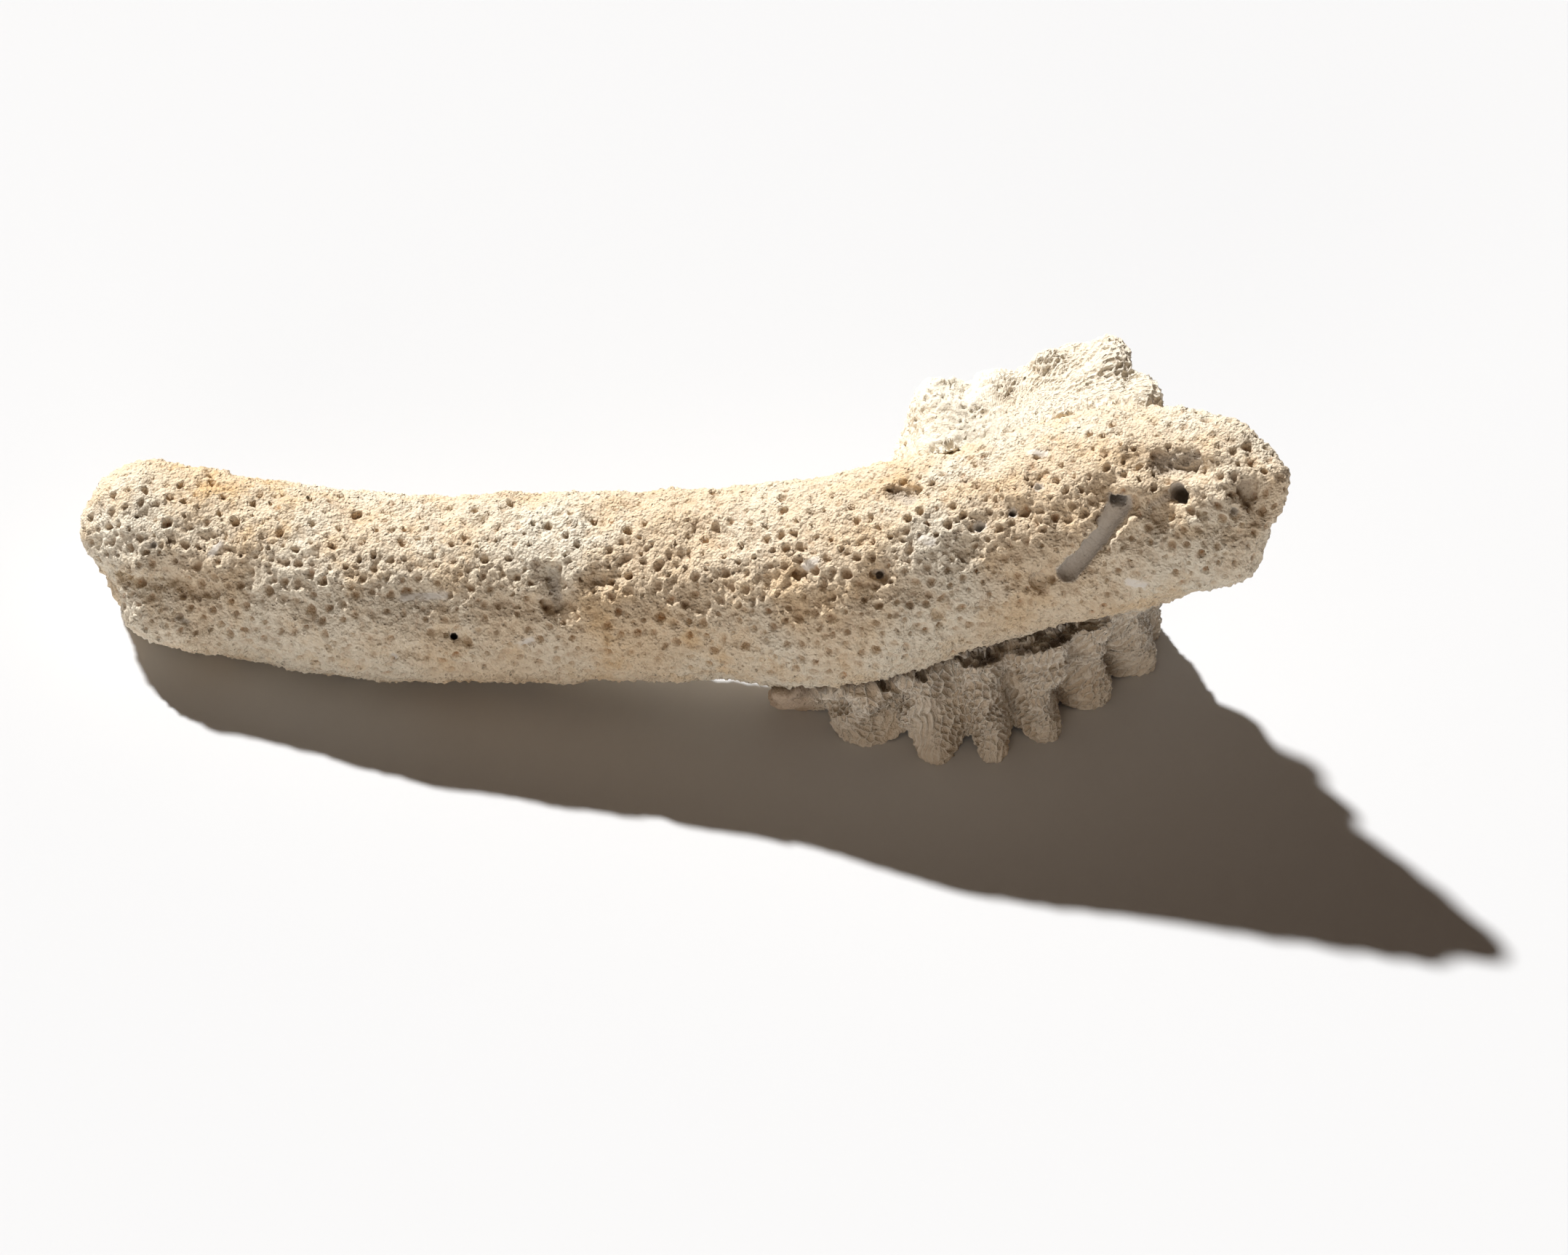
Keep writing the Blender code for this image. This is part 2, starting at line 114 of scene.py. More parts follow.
# Lumps, in the same way: the ends' knobs and lips, and the floors of the solid's wider hollows.
LUMP_SLOPE = 0.9
LUMPS = {
    "left tip": ((128, 725), (132, 748), 4.5, 1.5),
    "floor of the end's furrow": ((176, 802), (246, 808), 2.0, 1.7),
    "tail of the end's furrow": ((262, 826), (300, 844), 1.6, 0.5),
    "round the belly hole": ((618, 870), (630, 878), 2.3, 1.4),
    "round the second belly hole": ((545, 893), (556, 902), 2.2, 1.1),
    "end knob": ((1744, 628), (1758, 652), 2.2, 1.2),
    "upper end knob": ((1694, 586), (1712, 598), 2.0, 1.2),
    "end's lower corner": ((1715, 738), (1728, 734), 2.6, 0.5),
    "lower lip": ((175, 868), (270, 880), 2.4, 0.5),
    "lip over the groove": ((1555, 668), (1570, 676), 1.2, 0.7),
    "shoulder": ((205, 640), (250, 636), 3.0, 0.5),
}
# Holes with upright walls: the borer's round hole, found from its two banks, and the long groove beside it,
# whose upper end goes down into the skeleton.
BORE_BESIDE_PX = ((1596, 674), (1638, 671))
BORE_RADIUS = 1.1 * MM
BORE_DEPTH = 5.0 * MM
BORE_MOUTH = 1.0 * MM
GROOVE_PX = ((1541, 692), (1522, 717), (1504, 741), (1486, 764), (1468, 785))
GROOVE_RADIUS = 1.4 * MM
GROOVE_LIFT = 0.15 * MM
GROOVE_HOLE_RADIUS = 1.2 * MM
GROOVE_HOLE_DEPTH = 4.0 * MM
GROOVE_HOLE_MOUTH = 1.6 * MM
# Small bores: the pixel of the mouth, then radius and depth in mm.
SMALL_BORES = {
    "belly": ((624, 876), 0.60, 3.5),
    "second belly": ((549, 898), 0.45, 1.8),
    "left end": ((211, 749), 0.45, 2.0),
    "deep pore": ((1209, 790), 0.60, 2.5),
    "head": ((1347, 724), 0.75, 3.5),
    "second head": ((1393, 705), 0.55, 3.0),
    "third head": ((1428, 669), 0.50, 3.0),
    "ring pore": ((1698, 707), 0.50, 1.6),
}
CARVING_EDGE = 0.15 * MM
CUTTER_ABOVE = 3 * MM
SMALL_CUTTER_ABOVE = 1.0 * MM
# How strongly painted shade greys the walls of each kind of hole, and how smooth they all are.
GROOVE_SHADE = 1.15
GROOVE_HOLE_SHADE = 1.8
HOLE_SMOOTH = 0.8
# Smooth scars and shell scraps: two pixels, a half width in mm and how strong they are.
SCARS = {
    "left scrap": ((290, 762), (302, 748), 0.45, 1.0),
    "crescent scar": ((554, 822), (612, 818), 0.5, 1.0),
    "light crescent": ((716, 884), (731, 879), 0.4, 1.0),
    "middle scrap": ((1108, 779), (1121, 770), 0.6, 1.0),
    "head patch": ((1555, 801), (1570, 804), 0.8, 1.0),
    "top scrap": ((1415, 621), (1438, 624), 0.4, 1.0),
    "tube scrap": ((1268, 741), (1280, 744), 0.6, 1.0),
}
# Patches that the sun and the sand have stained: two pixels, a half width in mm and how strong they are.
STAINS = {
    "ochre shoulder": ((250, 650), (370, 690), 6.0, 0.9),
    "ochre left tip": ((170, 650), (230, 640), 3.0, 0.5),
    "grey middle": ((480, 800), (560, 800), 3.0, 0.2),
    "warm belly": ((830, 880), (1010, 900), 5.0, 0.45),
    "ochre hollow": ((1225, 668), (1262, 690), 2.2, 1.0),
}


def new_object(name, mesh):
    thing = bpy.data.objects.new(name, mesh)
    bpy.context.scene.collection.objects.link(thing)
    return thing


def settled(thing, name):
    """The object's shape with its modifiers applied, as a plain mesh, and the object taken away."""
    graph = bpy.context.evaluated_depsgraph_get()
    mesh = bpy.data.meshes.new_from_object(thing.evaluated_get(graph))
    bpy.data.objects.remove(thing)
    mesh.name = name
    return mesh


def even_skin(mesh, edge, rounding):
    """The same closed shape in even small faces, its corners rounded off."""
    thing = new_object("even skin", mesh)
    remesh = thing.modifiers.new("even faces", "REMESH")
    remesh.mode = "VOXEL"
    remesh.voxel_size = edge
    if rounding:
        smooth = thing.modifiers.new("rounding", "SMOOTH")
        smooth.factor = 0.5
        smooth.iterations = rounding
    return settled(thing, "even skin")


def merged_copy(node):
    """A copy of a solid's mesh with its loose triangles joined."""
    mesh = bmesh.new()
    mesh.from_mesh(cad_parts[node].data)
    bmesh.ops.remove_doubles(mesh, verts=mesh.verts[:], dist=1e-6)
    copy = bpy.data.meshes.new(node + " copy")
    mesh.to_mesh(copy)
    mesh.free()
    return copy


def vertex_places(mesh):
    places = np.empty(len(mesh.vertices) * 3, np.float32)
    mesh.vertices.foreach_get("co", places)
    return places.reshape(-1, 3).astype(float)


def set_vertex_places(mesh, places):
    mesh.vertices.foreach_set("co", places.astype(np.float32).ravel())
    mesh.update()


def set_numbers(mesh, name, values):
    """Keeps one number for each vertex, which the materials and the node trees read."""
    attribute = mesh.attributes.get(name) or mesh.attributes.new(name, "FLOAT", "POINT")
    attribute.data.foreach_set("value", values.astype(np.float32))


def bvh_of(mesh):
    places = [vertex.co.copy() for vertex in mesh.vertices]
    return BVHTree.FromPolygons(places, [tuple(polygon.vertices) for polygon in mesh.polygons])


def seen_spot(tree, pixel):
    """Where a sight line meets the skin, or passes nearest to it, and which way the skin faces there."""
    sight = sight_line(pixel)
    place, outward, _, _ = tree.ray_cast(view_eye, sight)
    if place is None:
        beside = view_eye + sight * VIEW_DISTANCE
        place, outward, _, _ = tree.find_nearest(beside)
    return place, outward


def soft_step(value):
    value = np.clip(value, 0.0, 1.0)
    return value * value * (3.0 - 2.0 * value)


def away_from_segment(places, start, end):
    """Each place's distance from the line between two points."""
    start = np.array(start)
    way = np.array(end) - start
    along = np.clip(((places - start) @ way) / max(way @ way, 1e-12), 0.0, 1.0)
    return np.linalg.norm(places - start - along[:, None] * way, axis=1)


def pushed(places, start, end, outward, half_width, height, slope):
    """Places raised or sunk along one direction, level in the middle and sloping at the sides."""
    distance = away_from_segment(places, start, end) / half_width
    amount = soft_step((1.0 + slope - distance) / (2.0 * slope))
    return places + amount[:, None] * np.array(outward) * height


def marked(places, tree, marks, reach, fade):
    """How far each place lies inside marks, each two pixels, a half width in mm and a strength."""
    mask = np.zeros(len(places))
    for start, end, half_width, strength in marks:
        first, _ = seen_spot(tree, start)
        last, _ = seen_spot(tree, end)
        distance = away_from_segment(places, first, last) / (half_width * MM)
        mask = np.maximum(mask, strength * soft_step((reach - distance) / fade))
    return mask


def carving_tool(rods):
    """Round-ended rods, each from one point to another with its radius, grown together into one cutter."""
    mesh = bmesh.new()
    for start, end, radius in rods:
        made = bmesh.ops.create_uvsphere(mesh, u_segments=24, v_segments=14, radius=radius)
        way = end - start
        turn = way.to_track_quat("Z", "Y").to_matrix()
        for vertex in made["verts"]:
            if vertex.co.z > 0.0:
                vertex.co.z += way.length
            vertex.co = turn @ vertex.co + start
    data = bpy.data.meshes.new("rods")
    mesh.to_mesh(data)
    mesh.free()
    return new_object("carving tool", even_skin(data, CARVING_EDGE, 0))


def carved(mesh, tool):
    thing = new_object("carved", mesh)
    cut = thing.modifiers.new("carving", "BOOLEAN")
    cut.operation = "DIFFERENCE"
    cut.object = tool
    mesh = settled(thing, "carved")
    bpy.data.objects.remove(tool)
    return mesh


def thinned(mesh, triangles):
    """The same shape in fewer faces, most of them kept where it turns."""
    count = sum(len(polygon.vertices) - 2 for polygon in mesh.polygons)
    thing = new_object("thinned", mesh)
    decimate = thing.modifiers.new("thin out", "DECIMATE")
    decimate.ratio = min(1.0, triangles / count)
    decimate.use_collapse_triangulate = True
    return settled(thing, "thinned")


def put(tree, kind, inputs=None, **options):
    """Adds a node to a tree, sets its options, and plugs or sets the inputs that are named."""
    made = tree.nodes.new(kind)
    for name, value in options.items():
        setattr(made, name, value)
    for place, value in (inputs or {}).items():
        if isinstance(value, bpy.types.NodeSocket):
            tree.links.new(value, made.inputs[place])
        else:
            made.inputs[place].default_value = value
    return made


def number(tree, operation, *values, clamp=False):
    """A Math node's result."""
    made = put(tree, "ShaderNodeMath", dict(enumerate(values)), operation=operation, use_clamp=clamp)
    return made.outputs[0]


def vector(tree, operation, *values):
    """A Vector Math node's vector result, or its number for a length."""
    made = tree.nodes.new("ShaderNodeVectorMath")
    made.operation = operation
    for place, value in enumerate(values):
        socket = made.inputs["Scale"] if operation == "SCALE" and place == 1 else made.inputs[place]
        if isinstance(value, bpy.types.NodeSocket):
            tree.links.new(value, socket)
        else:
            socket.default_value = value
    return made.outputs["Value"] if operation in {"LENGTH", "DOT_PRODUCT"} else made.outputs["Vector"]


def ramp(tree, value, low, high, out_low=0.0, out_high=1.0):
    """A smooth climb from one value to another while the input goes from low to high."""
    made = put(tree, "ShaderNodeMapRange", {"Value": value, "From Min": low, "From Max": high,
                                            "To Min": out_low, "To Max": out_high},
               interpolation_type="SMOOTHSTEP")
    return made.outputs["Result"]


def run_tree(mesh, tree, settings, name):
    """The mesh as a node tree with these named inputs leaves it."""
    thing = new_object(name, mesh)
    modifier = thing.modifiers.new(name, "NODES")
    modifier.node_group = tree
    for item in tree.interface.items_tree:
        if item.item_type == "SOCKET" and item.in_out == "INPUT" and item.name in settings:
            modifier[item.identifier] = settings[item.name]
    return settled(thing, name)


def corallite_tree():
    """Scatters corallites evenly over a skin and wears each to a pit with a low rim among round granules."""
    tree = bpy.data.node_groups.new("corallites", "GeometryNodeTree")
    face = tree.interface
    face.new_socket("Geometry", in_out="INPUT", socket_type="NodeSocketGeometry")
    for title in ("Spacing", "Pit Radius", "Pit Depth", "Rim Height", "Wobble", "Pore Depth", "Crumb Height",
                  "Granule Height"):
        face.new_socket(title, in_out="INPUT", socket_type="NodeSocketFloat")
    face.new_socket("Seed", in_out="INPUT", socket_type="NodeSocketInt")
    face.new_socket("Material", in_out="INPUT", socket_type="NodeSocketMaterial")
    face.new_socket("Geometry", in_out="OUTPUT", socket_type="NodeSocketGeometry")
    given = tree.nodes.new("NodeGroupInput").outputs

    scatter = put(tree, "GeometryNodeDistributePointsOnFaces",
                  {"Mesh": given["Geometry"], "Distance Min": given["Spacing"],
                   "Density Max": 2.0e6, "Seed": given["Seed"]},
                  distribute_method="POISSON")
    points = scatter.outputs["Points"]
    sizes = put(tree, "FunctionNodeRandomValue", {2: 0.5, 3: 1.25, "Seed": 3}, data_type="FLOAT").outputs[1]
    wears = put(tree, "FunctionNodeRandomValue", {2: 0.0, 3: 1.0, "Seed": 8}, data_type="FLOAT").outputs[1]

    place = tree.nodes.new("GeometryNodeInputPosition").outputs[0]
    wobble = put(tree, "ShaderNodeTexNoise", {"Vector": place, "Scale": 820.0, "Detail": 1.5})
    shift = vector(tree, "SUBTRACT", wobble.outputs["Color"], (0.5, 0.5, 0.5))
    uneven = vector(tree, "ADD", place, vector(tree, "SCALE", shift, given["Wobble"]))
    nearest = put(tree, "GeometryNodeSampleNearest", {"Geometry": points, "Sample Position": uneven},
                  domain="POINT").outputs[0]
    middle = put(tree, "GeometryNodeSampleIndex", {"Geometry": points, "Index": nearest},
                 data_type="FLOAT_VECTOR", domain="POINT")
    tree.links.new(place, middle.inputs["Value"])
    size = put(tree, "GeometryNodeSampleIndex", {"Geometry": points, "Value": sizes, "Index": nearest},
               data_type="FLOAT", domain="POINT").outputs[0]
    wear = put(tree, "GeometryNodeSampleIndex", {"Geometry": points, "Value": wears, "Index": nearest},
               data_type="FLOAT", domain="POINT").outputs[0]
    away = vector(tree, "LENGTH", vector(tree, "SUBTRACT", uneven, middle.outputs[0]))
    radius = number(tree, "MULTIPLY", given["Pit Radius"], size)
    reach = number(tree, "DIVIDE", away, radius)

    pit = ramp(tree, reach, 1.1, 0.15)
    rim_reach = number(tree, "ABSOLUTE", number(tree, "SUBTRACT", reach, 1.25))
    rim = ramp(tree, rim_reach, 0.45, 0.0)
    patch = put(tree, "ShaderNodeTexNoise", {"Vector": place, "Scale": 95.0, "Detail": 2.0}).outputs[0]
    worn = ramp(tree, patch, 0.35, 0.62, 0.65, 1.1)
    deep = number(tree, "MULTIPLY_ADD", wear, 0.72, 0.36)
    strength = number(tree, "MULTIPLY", number(tree, "MULTIPLY", pit, worn), deep)
    sunk = number(tree, "MULTIPLY", strength, given["Pit Depth"])
    raised = number(tree, "MULTIPLY", number(tree, "MULTIPLY", rim, deep), given["Rim Height"])

    hole = put(tree, "ShaderNodeTexVoronoi", {"Vector": uneven, "Scale": 700.0}).outputs["Distance"]
    pores = number(tree, "MULTIPLY", ramp(tree, hole, 0.36, 0.10), given["Pore Depth"])
    crumb = put(tree, "ShaderNodeTexNoise", {"Vector": place, "Scale": 430.0, "Detail": 2.5,
                                             "Roughness": 0.6}).outputs[0]
    crumbs = number(tree, "MULTIPLY", number(tree, "SUBTRACT", crumb, 0.5), given["Crumb Height"])
    granule = put(tree, "ShaderNodeTexVoronoi", {"Vector": uneven, "Scale": 1150.0, "Smoothness": 0.35},
                  feature="SMOOTH_F1").outputs["Distance"]
    granules = number(tree, "MULTIPLY", number(tree, "SUBTRACT", 0.4, granule), given["Granule Height"])

    height = number(tree, "SUBTRACT", number(tree, "SUBTRACT", raised, sunk), pores)
    height = number(tree, "ADD", number(tree, "ADD", height, crumbs), granules)
    scar = put(tree, "GeometryNodeInputNamedAttribute", {"Name": "scar"}, data_type="FLOAT").outputs[0]
    rough = number(tree, "SUBTRACT", 1.0, scar, clamp=True)
    height = number(tree, "MULTIPLY", height, rough)
    normal = tree.nodes.new("GeometryNodeInputNormal").outputs[0]

    pitted = number(tree, "MULTIPLY", strength, rough)
    stored = put(tree, "GeometryNodeStoreNamedAttribute",
                 {"Geometry": given["Geometry"], "Name": "pore", "Value": pitted},
                 data_type="FLOAT", domain="POINT").outputs[0]
    stored = put(tree, "GeometryNodeStoreNamedAttribute",
                 {"Geometry": stored, "Name": "relief", "Value": number(tree, "DIVIDE", height, MM)},
                 data_type="FLOAT", domain="POINT").outputs[0]
    moved = put(tree, "GeometryNodeSetPosition",
                {"Geometry": stored, "Offset": vector(tree, "SCALE", normal, height)}).outputs[0]
    real = put(tree, "GeometryNodeRealizeInstances", {"Geometry": moved}).outputs[0]
    painted = put(tree, "GeometryNodeSetMaterial",
                  {"Geometry": real, "Material": given["Material"]}).outputs[0]
    put(tree, "NodeGroupOutput", {"Geometry": painted})
    return tree


def skeleton_grain():
    """Shader group for dry skeleton: fine grain, sponge-like pinholes, stains and speckles."""
    tree = bpy.data.node_groups.new("skeleton grain", "ShaderNodeTree")
    face = tree.interface
    face.new_socket("Place", in_out="INPUT", socket_type="NodeSocketVector")
    face.new_socket("Grain Size", in_out="INPUT", socket_type="NodeSocketFloat")
    face.new_socket("Stain Size", in_out="INPUT", socket_type="NodeSocketFloat")
    for title in ("Height", "Pinholes", "Stain", "Speckle", "Cloud"):
        face.new_socket(title, in_out="OUTPUT", socket_type="NodeSocketFloat")
    given = tree.nodes.new("NodeGroupInput").outputs
    place = given["Place"]
    grain_scale = number(tree, "DIVIDE", 1.0, given["Grain Size"])
    stain_scale = number(tree, "DIVIDE", 1.0, given["Stain Size"])

    def noise(scale, share, detail, roughness):
        finer = number(tree, "MULTIPLY", scale, share)
        return put(tree, "ShaderNodeTexNoise", {"Vector": place, "Scale": finer, "Detail": detail,
                                                "Roughness": roughness}).outputs[0]

    grain = noise(grain_scale, 1.0, 4.0, 0.65)
    hole_scale = number(tree, "MULTIPLY", grain_scale, 0.62)
    holes = put(tree, "ShaderNodeTexVoronoi", {"Vector": place, "Scale": hole_scale}).outputs["Distance"]
    pocked = ramp(tree, noise(stain_scale, 3.0, 2.0, 0.5), 0.38, 0.58)
    pinholes = number(tree, "MULTIPLY", ramp(tree, holes, 0.34, 0.10), pocked)
    stain = ramp(tree, noise(stain_scale, 1.0, 5.0, 0.6), 0.48, 0.66)
    speckle = ramp(tree, noise(grain_scale, 0.45, 2.0, 0.5), 0.60, 0.70)
    cloud = ramp(tree, noise(stain_scale, 0.35, 2.0, 0.5), 0.35, 0.65)
    granule = put(tree, "ShaderNodeTexVoronoi", {"Vector": place, "Scale": grain_scale, "Smoothness": 0.3},
                  feature="SMOOTH_F1").outputs["Distance"]
    height = number(tree, "MULTIPLY_ADD", granule, -0.9, number(tree, "MULTIPLY", grain, 1.3))
    height = number(tree, "SUBTRACT", height, number(tree, "MULTIPLY", pinholes, 0.8))
    put(tree, "NodeGroupOutput", {"Height": height, "Pinholes": pinholes, "Stain": stain,
                                  "Speckle": speckle, "Cloud": cloud})
    return tree


grain_group = skeleton_grain()


def mixed(tree, factor, colour, other):
    """One colour going over into another by a factor."""
    made = put(tree, "ShaderNodeMix", data_type="RGBA")
    for socket, value in zip((made.inputs[0], made.inputs[6], made.inputs[7]), (factor, colour, other)):
        if isinstance(value, bpy.types.NodeSocket):
            tree.links.new(value, socket)
        else:
            socket.default_value = value
    return made.outputs[2]


def vertex_number(tree, name):
    return put(tree, "ShaderNodeAttribute", attribute_name=name).outputs["Fac"]


PILLAR_CREAM = (0.89, 0.73, 0.53, 1.0)
PILLAR_PALE = (0.93, 0.85, 0.70, 1.0)
PILLAR_OCHRE = (0.80, 0.50, 0.20, 1.0)
# Painted shade for the low spots of the relief and for the pinholes.
PILLAR_RECESS_SHADE = (0.53, 0.38, 0.25, 1.0)
PILLAR_RUST = (0.50, 0.23, 0.09, 1.0)
# Painted shade for the hollows, the bores and the groove.
PILLAR_HOLLOW_SHADE = (0.46, 0.43, 0.40, 1.0)
SCAR_WHITE = (0.76, 0.74, 0.71, 1.0)


def pillar_colour(tree, grain, pore, relief):
    """The skeleton's cream with rusty speckles in its pits, and painted shade where it lies low and in its
    pinholes.
    """
    colour = mixed(tree, grain.outputs["Cloud"], PILLAR_CREAM, PILLAR_PALE)
    colour = mixed(tree, number(tree, "MULTIPLY", grain.outputs["Stain"], 0.30), colour, PILLAR_OCHRE)
    # Painted shade: browner where the relief lies low.
    low = number(tree, "MULTIPLY", ramp(tree, relief, 0.10, -0.70), 0.62)
    colour = mixed(tree, low, colour, PILLAR_RECESS_SHADE)
    rusty = number(tree, "MULTIPLY", grain.outputs["Speckle"], number(tree, "MULTIPLY_ADD", pore, 0.7, 0.16))
    colour = mixed(tree, rusty, colour, PILLAR_RUST)
    # Painted shade in the pinholes.
    return mixed(tree, number(tree, "MULTIPLY", grain.outputs["Pinholes"], 0.25), colour, PILLAR_RECESS_SHADE)


def pillar_material():
    material = bpy.data.materials.new("worn pillar skeleton")
    material.use_nodes = True
    tree = material.node_tree
    shader = tree.nodes["Principled BSDF"]
    place = tree.nodes.new("ShaderNodeTexCoord").outputs["Object"]
    grain = put(tree, "ShaderNodeGroup", node_tree=grain_group)
    tree.links.new(place, grain.inputs["Place"])
    grain.inputs["Grain Size"].default_value = 0.44 * MM
    grain.inputs["Stain Size"].default_value = 7.0 * MM
    hollow = vertex_number(tree, "hollow")
    scar = vertex_number(tree, "scar")
    stain = vertex_number(tree, "stain")

    colour = pillar_colour(tree, grain, vertex_number(tree, "pore"), vertex_number(tree, "relief"))
    patchy = number(tree, "MULTIPLY", stain, number(tree, "MULTIPLY_ADD", grain.outputs["Stain"], 0.35, 0.25))
    colour = mixed(tree, patchy, colour, PILLAR_OCHRE)
    colour = mixed(tree, number(tree, "MULTIPLY", scar, 0.75), colour, SCAR_WHITE)
    # Painted shade greys the hollows, the bores and the groove, darkest in the groove's upper hole.
    colour = mixed(tree, number(tree, "MULTIPLY", hollow, 0.55), colour, PILLAR_HOLLOW_SHADE)
    tree.links.new(colour, shader.inputs["Base Color"])

    roughness = number(tree, "MULTIPLY_ADD", scar, -0.3, 0.93)
    tree.links.new(roughness, shader.inputs["Roughness"])
    shader.inputs["Specular IOR Level"].default_value = 0.25
    rough = number(tree, "MULTIPLY_ADD", scar, -0.9, 1.0)
    bump = put(tree, "ShaderNodeBump", {"Height": number(tree, "MULTIPLY", grain.outputs["Height"], rough),
                                        "Strength": 1.0, "Distance": 0.30 * MM})
    tree.links.new(bump.outputs[0], shader.inputs["Normal"])
    return material


def make_pillar():
    skin = even_skin(merged_copy("pillar_branch"), PILLAR_COARSE_EDGE, PILLAR_ROUNDING)
    tree = bvh_of(skin)
    places = vertex_places(skin)
    for marks, slope, sense in ((LUMPS, LUMP_SLOPE, 1), (HOLLOWS, HOLLOW_SLOPE, -1)):
        for start, end, half_width, height in marks.values():
            first, outward = seen_spot(tree, start)
            last, outward_too = seen_spot(tree, end)
            way = (outward + outward_too).normalized()
            places = pushed(places, first, last, way, half_width * MM, sense * height * MM, slope)
    set_vertex_places(skin, places)

    left_bank, left_out = seen_spot(tree, BORE_BESIDE_PX[0])
    right_bank, right_out = seen_spot(tree, BORE_BESIDE_PX[1])
    mouth = (left_bank + right_bank) / 2
    outward = (left_out + right_out).normalized()
    bottom = mouth - outward * BORE_DEPTH
    spots = [seen_spot(tree, pixel) for pixel in GROOVE_PX]
    path = [spot + spot_out * GROOVE_LIFT for spot, spot_out in spots]
    upper, upper_out = spots[0]
    upper_bottom = upper - upper_out * GROOVE_HOLE_DEPTH
    groove = [(start, end, GROOVE_RADIUS) for start, end in zip(path, path[1:])]
    holes = [(bottom, mouth + outward * CUTTER_ABOVE, BORE_RADIUS),
             (upper_bottom, upper + upper_out * SMALL_CUTTER_ABOVE, GROOVE_HOLE_RADIUS)]
    small = []
    for pixel, radius, depth in SMALL_BORES.values():
        spot, spot_out = seen_spot(tree, pixel)
        small.append((spot - spot_out * depth * MM, spot + spot_out * SMALL_CUTTER_ABOVE, radius * MM))
    skin = carved(skin, carving_tool(groove + holes + small))
    skin = even_skin(skin, PILLAR_FINE_EDGE, CARVED_ROUNDING)

    places = vertex_places(skin)
    scar = marked(places, tree, SCARS.values(), 1.35, 0.6)
    # Painted shade: how far each place lies in a hollow.
    hollow = marked(places, tree, [(*mark[:3], 1.0) for mark in HOLLOWS.values()], 1.2, 0.7)
    stain = marked(places, tree, STAINS.values(), 1.6, 1.2)
    # Painted shade inside the groove and the bores, with how strongly each is greyed.
    inside = [(start, end, radius, GROOVE_SHADE) for start, end, radius in groove]
    inside += [(mouth - outward * BORE_MOUTH, bottom, BORE_RADIUS, 1.0),
               (upper - upper_out * GROOVE_HOLE_MOUTH, upper_bottom, GROOVE_RADIUS, GROOVE_HOLE_SHADE)]
    inside += [(start, end, radius, 1.0) for start, end, radius in small]
    for start, end, radius, grey in inside:
        within = soft_step((1.2 - away_from_segment(places, start, end) / radius) / 0.25)
        hollow = np.maximum(hollow, grey * within)
        scar = np.maximum(scar, HOLE_SMOOTH * within)
    set_numbers(skin, "scar", scar)
    set_numbers(skin, "hollow", hollow)
    set_numbers(skin, "stain", stain)
    skin = run_tree(skin, corallite_tree(),
                    {"Spacing": 1.95 * MM, "Pit Radius": 0.66 * MM, "Pit Depth": 1.0 * MM,
                     "Rim Height": 0.20 * MM, "Wobble": 0.75 * MM, "Pore Depth": 0.38 * MM,
                     "Crumb Height": 1.1 * MM, "Granule Height": 0.55 * MM, "Seed": 11,
                     "Material": pillar_material()}, "corallites")
    skin = thinned(skin, PILLAR_TRIANGLES)
    places = vertex_places(skin)
    places[:, 2] = np.maximum(places[:, 2], 0.0)
    set_vertex_places(skin, places)
    skin.shade_smooth()
    pillar = new_object("pillar", skin)
    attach(pillar, "root")
    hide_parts("pillar_branch")
    return tree


pillar_tree = make_pillar()


# The ridged collar. A second coral that grew round the pillar's head as a fluted skirt, with a fan of knobs
# behind it: thin ribs that radiate from its middle, tied by small cross walls into a lattice of cells.
COLLAR_COARSE_EDGE = 0.40 * MM
COLLAR_FINE_EDGE = 0.22 * MM
COLLAR_ROUNDING = 9
COLLAR_FINE_ROUNDING = 2
COLLAR_TRIANGLES = 196000
COLLAR_MIDDLE = Vector((42.0 * MM, 0.0, 0.0))
# The crack between the two corals stays open between these two pixels, and elsewhere they have grown
# together. It gapes along a line of pixels, each with its half width and depth in mm, and is painted dark
# inside as painted shade.
CRACK_PX = ((1200, 922), (1500, 863))
CRACK_REACH = 3.0 * MM
CRACK_LINE = [
    ((1215, 945), 0.5, 1.6),
    ((1268, 929), 0.6, 2.2),
    ((1341, 908), 0.7, 2.6),
    ((1380, 896), 0.9, 3.4),
    ((1421, 883), 1.1, 4.0),
    ((1474, 864), 0.9, 3.4),
    ((1512, 855), 0.5, 2.0),
]
CRACK_SLOPE = 0.6
# Painted shade along the joint: the collar's front within this reach of the pillar is painted dark, less so
# to the right.
CRACK_SHADE_REACH = 1.7 * MM
CRACK_BEHIND = -6.0 * MM
CRACK_RIGHT = 56.0 * MM
CRACK_FADE = 12.0 * MM
WELD_REACH = 1.5 * MM
WELD_DEPTH = 0.35 * MM
# Knobs of the fan's rim and lumps on it, as pixels, half width and height in mm.
KNOB_SLOPE = 0.8
KNOBS = {
    "peak": ((1520, 478), (1530, 498), 2.2, 1.6),
    "second knob": ((1434, 497), (1442, 492), 1.6, 1.3),
    "third knob": ((1582, 534), (1590, 540), 1.6, 0.6),
    "lump under the peak": ((1492, 520), (1506, 512), 1.8, 0.8),
    "left block": ((1280, 540), (1300, 560), 3.4, 0.8),
    "middle lump": ((1372, 520), (1390, 540), 2.2, 0.7),
}
# The fan begins between these heights, lower at its porous left end, which ends between these places along X.
FAN_FROM = 36.0 * MM
FAN_FULL = 41.0 * MM
FAN_DIPS = 12.0 * MM
FAN_PORES_TO = 36.0 * MM
FAN_PORES_END = 50.0 * MM
FLANGE_TO = 20.0 * MM
